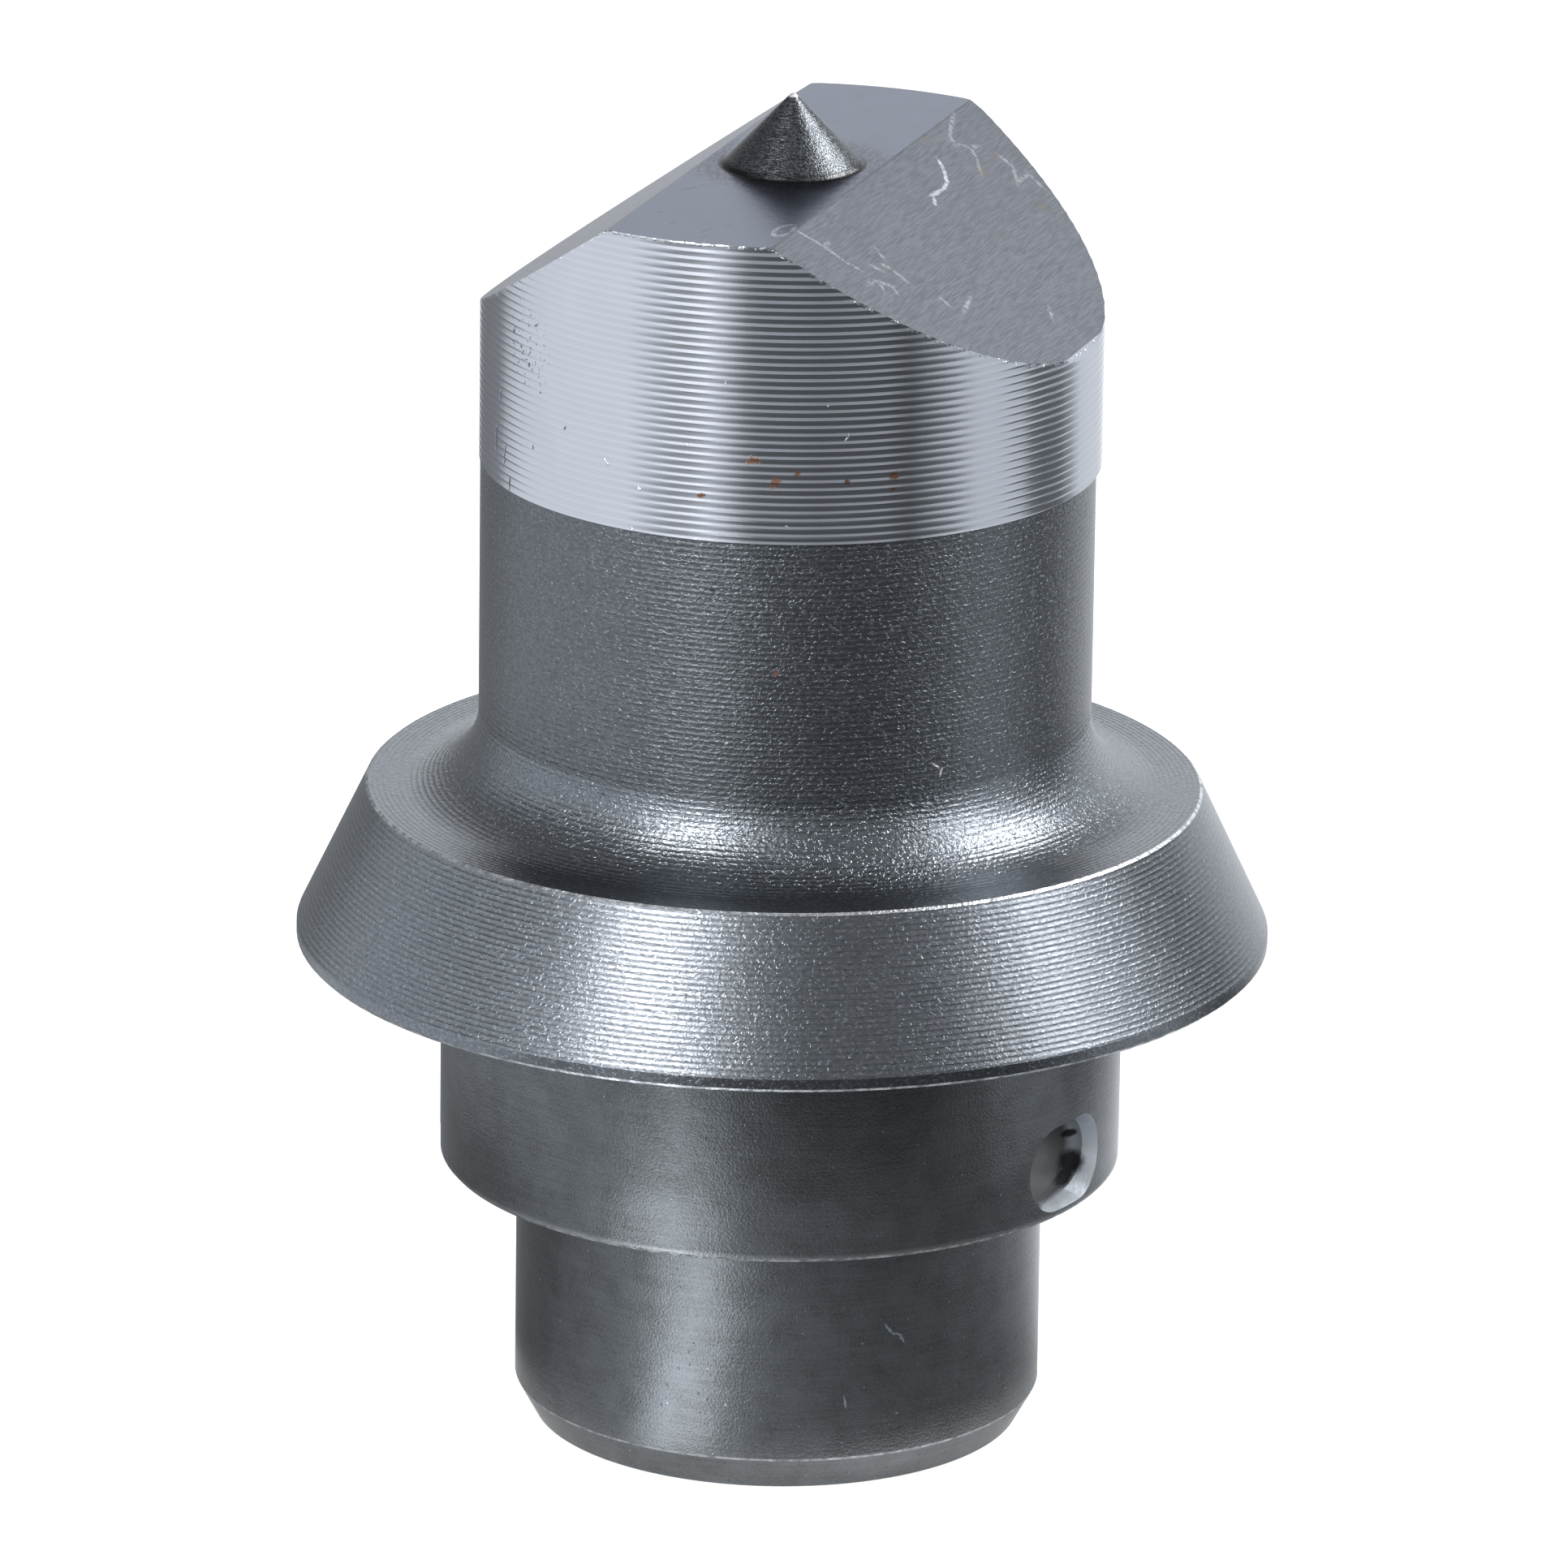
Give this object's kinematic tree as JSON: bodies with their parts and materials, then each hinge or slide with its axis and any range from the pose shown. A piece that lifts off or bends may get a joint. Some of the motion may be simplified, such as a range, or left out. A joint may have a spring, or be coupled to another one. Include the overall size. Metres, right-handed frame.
{
  "type": "piercing punch",
  "caption": "One-piece round piercing punch with a roof-ground cutting end, pilot cone, conical clamping flange and two stepped spigots.",
  "frame": {"origin": "centre of the flat base face of the lower spigot", "axes": "+Z along the punch axis towards the cutting end; the flat crest of the cutting end runs along Y; the two shear faces fall away towards +X and -X"},
  "size_m": [0.0252, 0.0252, 0.0355],
  "materials": {
    "tool_steel": "hardened tool steel, turned with fine feed rings, bright turned cutting land, ground shear faces, polished crest"
  },
  "bodies": {
    "root": {"punch": "tool_steel"}
  },
  "joints": []
}
